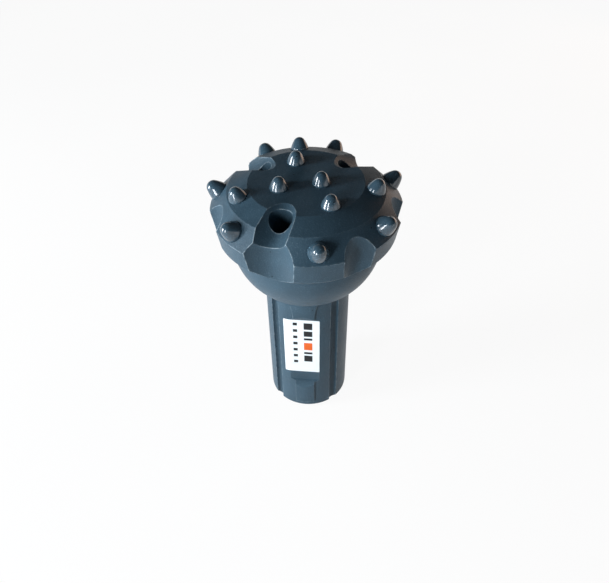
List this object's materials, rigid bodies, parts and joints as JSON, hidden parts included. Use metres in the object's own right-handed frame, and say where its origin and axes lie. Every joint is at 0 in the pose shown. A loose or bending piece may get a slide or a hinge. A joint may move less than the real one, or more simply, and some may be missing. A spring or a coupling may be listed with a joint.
{
  "type": "button drill bit",
  "caption": "Down-the-hole hammer bit: domed head with pressed carbide buttons, chip slots and sloping flushing holes on a bowl-shaped skirt and a grooved, flatted shank.",
  "frame": {"origin": "centre of the shank's end face, on the bit's axis", "axes": "+Z along the bit's axis from the shank's end towards the cutting face; -Y out through the retaining flat that carries the sticker"},
  "size_m": [0.126, 0.1255, 0.2028],
  "materials": {
    "painted_steel": "satin slate blue-grey paint on forged and machined steel",
    "painted_carbide": "the same paint, a little glossier, on ground tungsten carbide",
    "sticker_paper": "white coated label stock"
  },
  "bodies": {
    "root": {"bit_body": "painted_steel", "gauge_button_1": "painted_carbide", "gauge_button_2": "painted_carbide", "gauge_button_3": "painted_carbide", "gauge_button_4": "painted_carbide", "gauge_button_5": "painted_carbide", "gauge_button_6": "painted_carbide", "gauge_button_7": "painted_carbide", "middle_button_1": "painted_carbide", "middle_button_2": "painted_carbide", "middle_button_3": "painted_carbide", "face_button_1": "painted_carbide", "face_button_2": "painted_carbide", "face_button_3": "painted_carbide", "face_button_4": "painted_carbide", "sticker": "sticker_paper"}
  },
  "joints": []
}
